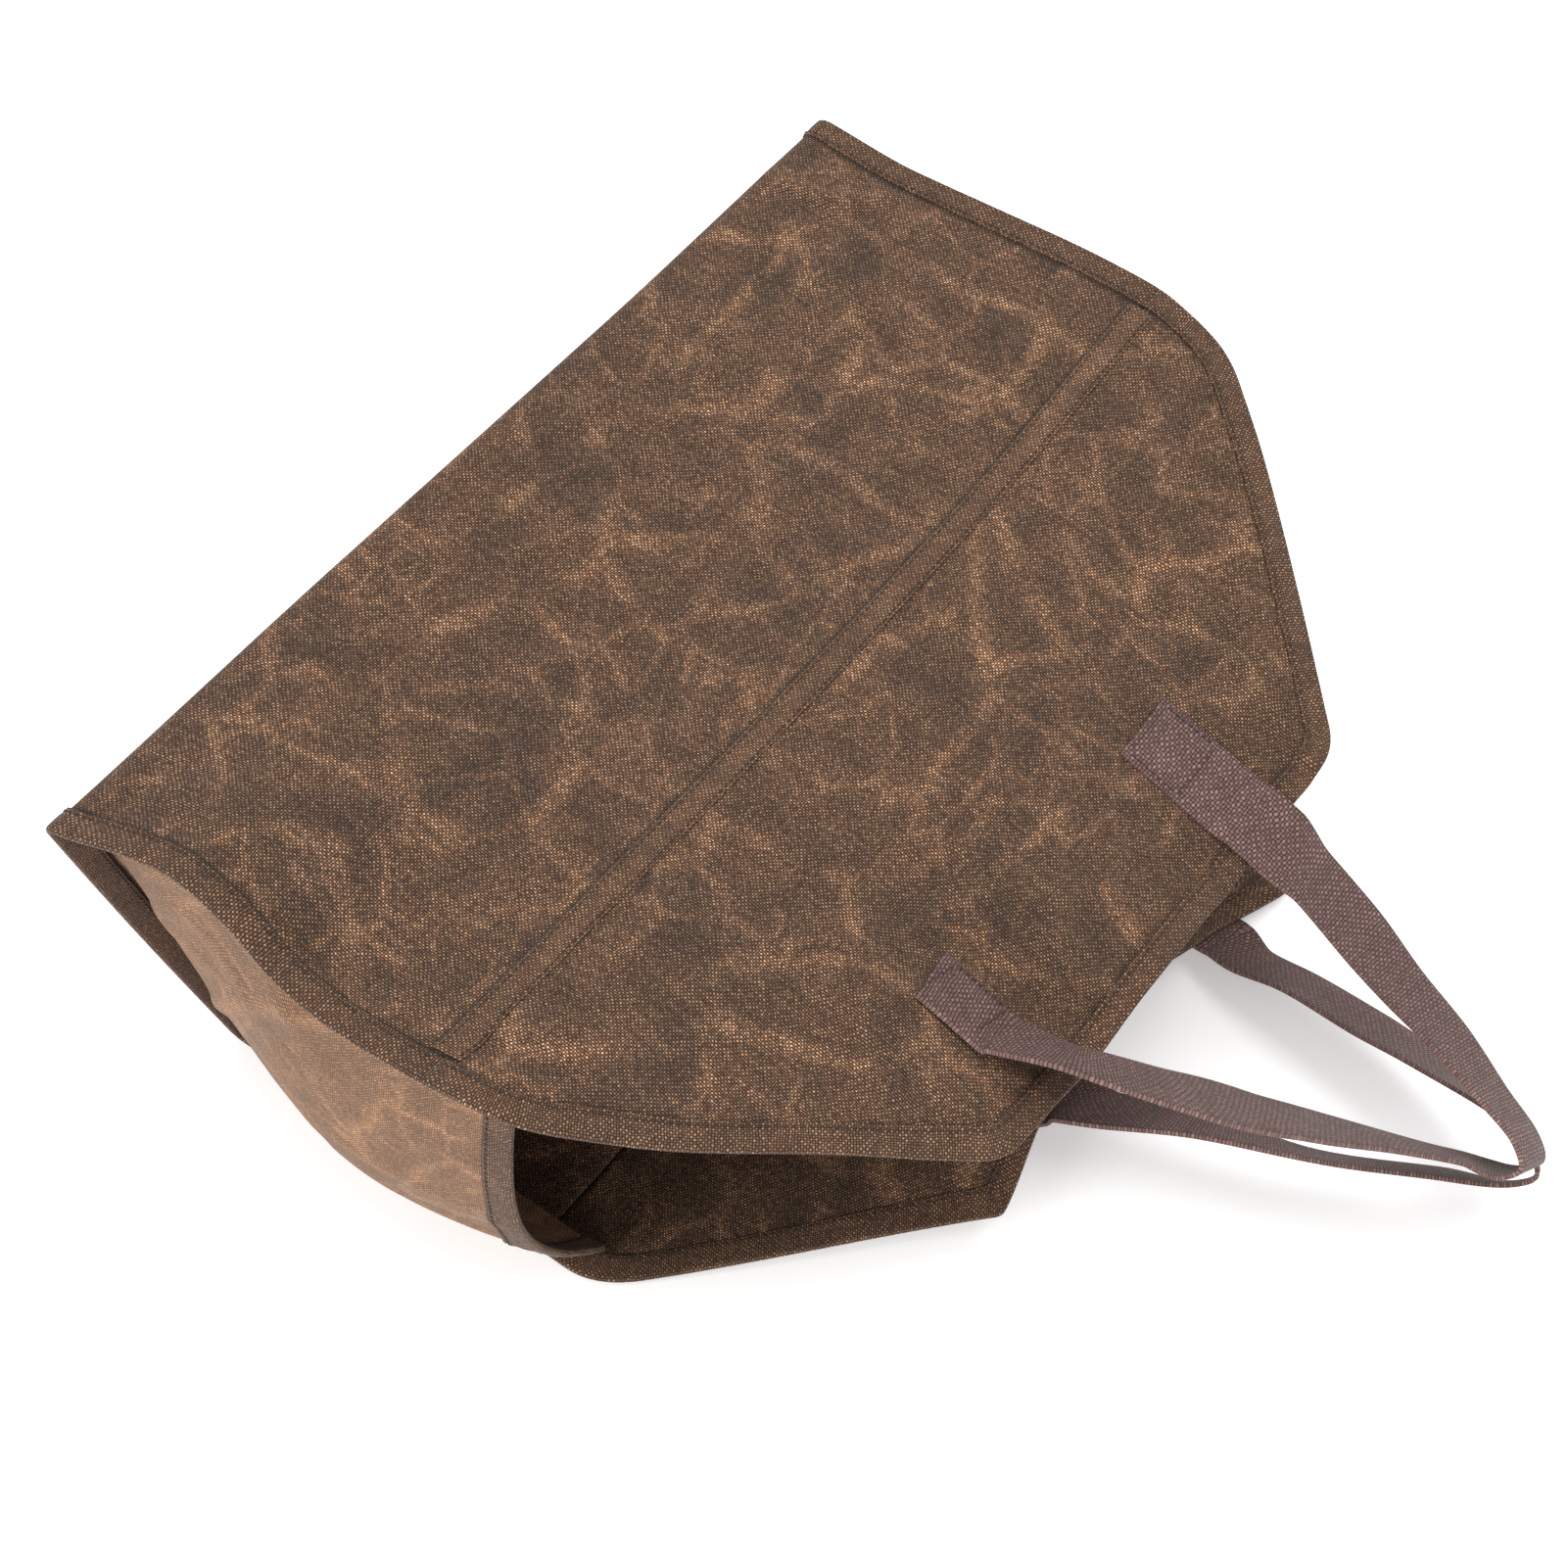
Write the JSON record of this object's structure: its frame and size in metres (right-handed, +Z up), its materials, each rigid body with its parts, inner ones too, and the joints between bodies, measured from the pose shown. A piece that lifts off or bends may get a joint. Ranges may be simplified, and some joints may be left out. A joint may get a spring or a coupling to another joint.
{
  "type": "canvas log carrier",
  "caption": "Waxed canvas firewood bag lying on its back panel, with end gussets, tapered top panels, taped edges and webbing carry handles.",
  "frame": {"origin": "on the floor under the middle of the carrier's bounding box", "axes": "+X towards the near end, along the folds; +Y from the bottom towards the mouth and the handles; +Z up, from the back panel on the floor to the front panel"},
  "size_m": [0.627, 0.5934, 0.28],
  "materials": {
    "canvas": "waxed plain weave, rubbed lighter along its creases",
    "gusset": "waxed plain weave, much creased",
    "tape": "coarse waxed cotton tape",
    "webbing": "coarse cotton webbing"
  },
  "bodies": {
    "root": {"body_canvas": "canvas", "front_top_panel": "canvas", "back_top_panel": "canvas", "front_seam_strip": "canvas", "back_seam_strip": "canvas", "near_side_binding": "tape", "far_side_binding": "tape", "front_top_binding": "tape", "back_top_binding": "tape", "near_gusset": "gusset", "far_gusset": "gusset", "near_gusset_binding": "tape", "far_gusset_binding": "tape", "front_handle": "webbing", "back_handle": "webbing"}
  },
  "joints": []
}
